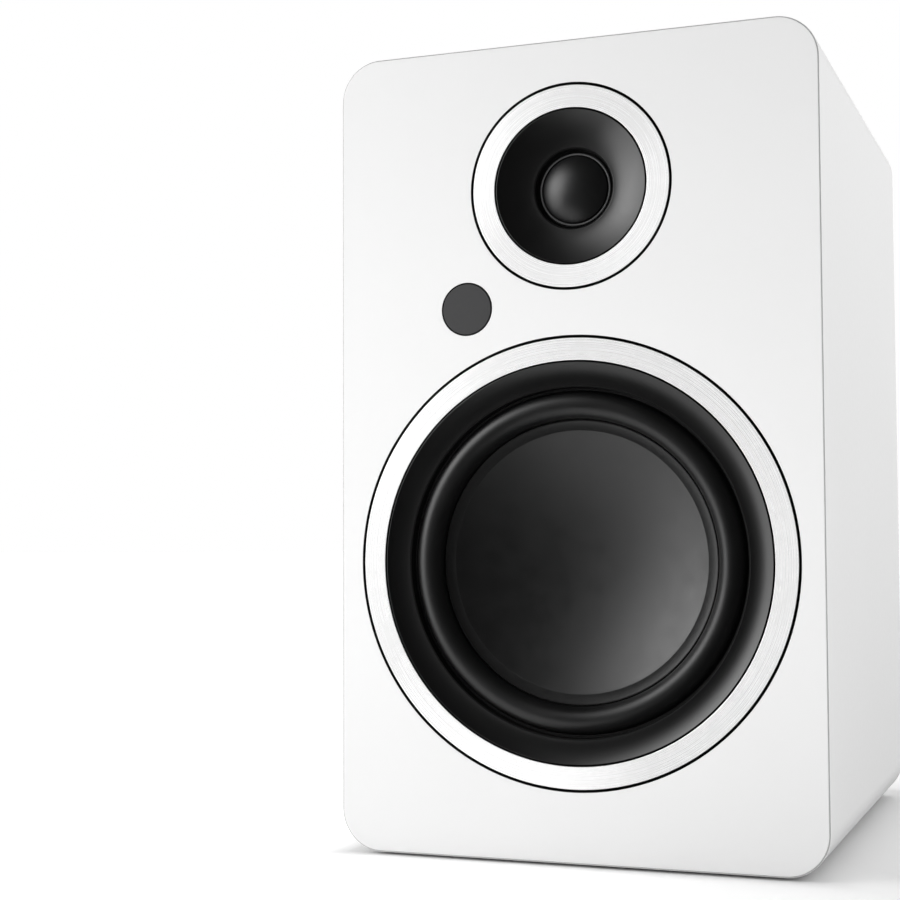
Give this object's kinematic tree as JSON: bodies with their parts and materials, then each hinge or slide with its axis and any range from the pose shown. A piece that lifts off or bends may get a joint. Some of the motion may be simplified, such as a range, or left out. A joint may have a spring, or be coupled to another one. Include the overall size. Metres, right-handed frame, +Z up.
{
  "type": "bookshelf speaker",
  "caption": "Powered two-way bookshelf speaker: white cabinet with rounded long edges, dished woofer, dome tweeter in a waveguide, reflex port and amplifier plate.",
  "frame": {"origin": "on the ground, under the middle of the whole object with its rear connectors", "axes": "+X to the right as seen from the front, the front faces -Y, +Z up"},
  "size_m": [0.176, 0.226, 0.291],
  "materials": {
    "white_lacquer": "satin white lacquer on fibreboard",
    "raw_fibreboard": "unpainted fibreboard",
    "wadding": "white polyester wadding",
    "foot_rubber": "matt moulded rubber",
    "magnet_nickel": "bright nickel plating",
    "port_plastic": "fine textured black moulding",
    "spun_aluminium": "circularly brushed, satin",
    "flare_plastic": "matt black moulding",
    "surround_rubber": "matt butyl rubber",
    "cone_paper": "satin dark grey coated pulp",
    "former": "brown glass-fibre former",
    "copper": "enamelled copper wire",
    "spider_cloth": "resin-treated corrugated cloth",
    "tinsel": "braided tinned copper",
    "basket_steel": "black powder coat on pressed steel",
    "motor_steel": "zinc-plated steel",
    "ferrite": "ground ferrite",
    "waveguide_plastic": "matt black moulding",
    "dome_metal": "satin dark anodised dome",
    "dome_rubber": "soft rubber roll",
    "chamber_plastic": "black moulding",
    "gasket_foam": "closed-cell foam",
    "black_steel": "black oxide steel",
    "tag_brass": "tinned brass tags on a fibre strip",
    "wire_cover": "smooth wire insulation",
    "sensor_acrylic": "smoked acrylic, satin",
    "holder_plastic": "black moulding",
    "circuit_board": "green solder mask",
    "plate_paint": "black powder coat on aluminium",
    "standoff_brass": "turned brass",
    "heatsink_black": "black anodised extrusion",
    "choke_ferrite": "shielded ferrite choke",
    "transformer": "yellow tape on a ferrite core",
    "capacitor": "sleeved aluminium can",
    "socket_plastic": "black moulding",
    "rocker_plastic": "glossy black rocker",
    "gold_plate": "gold-plated brass",
    "cap_red": "red moulded cap",
    "cap_black": "black moulded cap",
    "encoder_metal": "plated steel",
    "knob_plastic": "satin black knob"
  },
  "bodies": {
    "speaker": {"cabinet_shell": "white_lacquer", "front_baffle": "white_lacquer", "rear_panel": "white_lacquer", "brace": "raw_fibreboard", "wadding": "wadding", "feet": "foot_rubber", "grille_magnets": "magnet_nickel", "port_tube": "port_plastic", "woofer_trim_ring": "spun_aluminium", "woofer_flare_ring": "flare_plastic", "woofer_surround": "surround_rubber", "woofer_spider": "spider_cloth", "tinsel_leads": "tinsel", "woofer_basket": "basket_steel", "woofer_top_plate": "motor_steel", "woofer_magnet": "ferrite", "woofer_yoke": "motor_steel", "tweeter_trim_ring": "spun_aluminium", "tweeter_faceplate": "waveguide_plastic", "dome_surround": "dome_rubber", "tweeter_top_plate": "motor_steel", "tweeter_magnet": "ferrite", "tweeter_yoke": "motor_steel", "tweeter_rear_chamber": "chamber_plastic", "driver_gaskets": "gasket_foam", "driver_screws": "black_steel", "driver_terminals": "tag_brass", "driver_wires": "wire_cover", "sensor_window": "sensor_acrylic", "sensor_holder": "holder_plastic", "sensor_board": "circuit_board", "amp_plate": "plate_paint", "amp_plate_screws": "black_steel", "amp_board": "circuit_board", "board_standoffs": "standoff_brass", "heatsink": "heatsink_black", "output_chokes": "choke_ferrite", "power_board": "circuit_board", "power_transformer": "transformer", "filter_capacitors": "capacitor", "mains_inlet": "socket_plastic", "power_switch_housing": "socket_plastic", "binding_posts": "gold_plate", "rca_sockets": "gold_plate", "aux_socket": "socket_plastic", "optical_socket": "socket_plastic", "volume_encoder": "encoder_metal"},
    "woofer_moving": {"woofer_cone": "cone_paper", "voice_coil_former": "former", "voice_coil_winding": "copper"},
    "tweeter_moving": {"tweeter_dome": "dome_metal", "tweeter_voice_coil": "copper"},
    "rocker": {"power_rocker": "rocker_plastic"},
    "encoder_push": {"encoder_plunger": "encoder_metal"},
    "knob": {"volume_knob": "knob_plastic"},
    "red_clamp": {"red_post_washer": "gold_plate"},
    "red_cap": {"red_post_cap": "cap_red"},
    "black_clamp": {"black_post_washer": "gold_plate"},
    "black_cap": {"black_post_cap": "cap_black"},
    "shutter": {"optical_shutter": "rocker_plastic"}
  },
  "joints": [
    {"name": "woofer_stroke", "type": "slide", "parent": "speaker", "child": "woofer_moving", "axis": [0, -1, 0], "range_m": [-0.005, 0.005], "stiffness_N_per_m": 900, "deforming": ["woofer_surround", "woofer_spider", "tinsel_leads"]},
    {"name": "tweeter_stroke", "type": "slide", "parent": "speaker", "child": "tweeter_moving", "axis": [0, -1, 0], "range_m": [-0.0004, 0.0004], "stiffness_N_per_m": 400, "deforming": ["dome_surround"]},
    {"name": "power_switch", "type": "hinge", "parent": "speaker", "child": "rocker", "pos_m": [-0.022, 0.0972, 0.055], "axis": [1, 0, 0], "range_deg": [-20, 0]},
    {"name": "volume_push", "type": "slide", "parent": "speaker", "child": "encoder_push", "axis": [0, -1, 0], "range_m": [0, 0.0005], "stiffness_N_per_m": 3000, "springref_m": -0.0005},
    {"name": "volume_turn", "type": "hinge", "parent": "encoder_push", "child": "knob", "pos_m": [0.034, 0.097, 0.156], "axis": [0, 1, 0], "continuous": true},
    {"name": "red_cap_travel", "type": "slide", "parent": "speaker", "child": "red_clamp", "axis": [0, 1, 0], "range_m": [0, 0.003]},
    {"name": "red_cap_turn", "type": "hinge", "parent": "red_clamp", "child": "red_cap", "pos_m": [-0.0095, 0.097, 0.093], "axis": [0, 1, 0], "range_deg": [0, 1080]},
    {"name": "black_cap_travel", "type": "slide", "parent": "speaker", "child": "black_clamp", "axis": [0, 1, 0], "range_m": [0, 0.003]},
    {"name": "black_cap_turn", "type": "hinge", "parent": "black_clamp", "child": "black_cap", "pos_m": [0.0095, 0.097, 0.093], "axis": [0, 1, 0], "range_deg": [0, 1080]},
    {"name": "optical_flap", "type": "hinge", "parent": "speaker", "child": "shutter", "pos_m": [-0.02, 0.0961, 0.1596], "axis": [1, 0, 0], "range_deg": [-80, 0], "stiffness_Nm_per_rad": 0.0004, "springref_deg": 20.05}
  ],
  "couplings": [
    {"joint": "red_cap_turn", "follows": "red_cap_travel", "rad_per_m": 6283.2},
    {"joint": "black_cap_turn", "follows": "black_cap_travel", "rad_per_m": 6283.2}
  ]
}
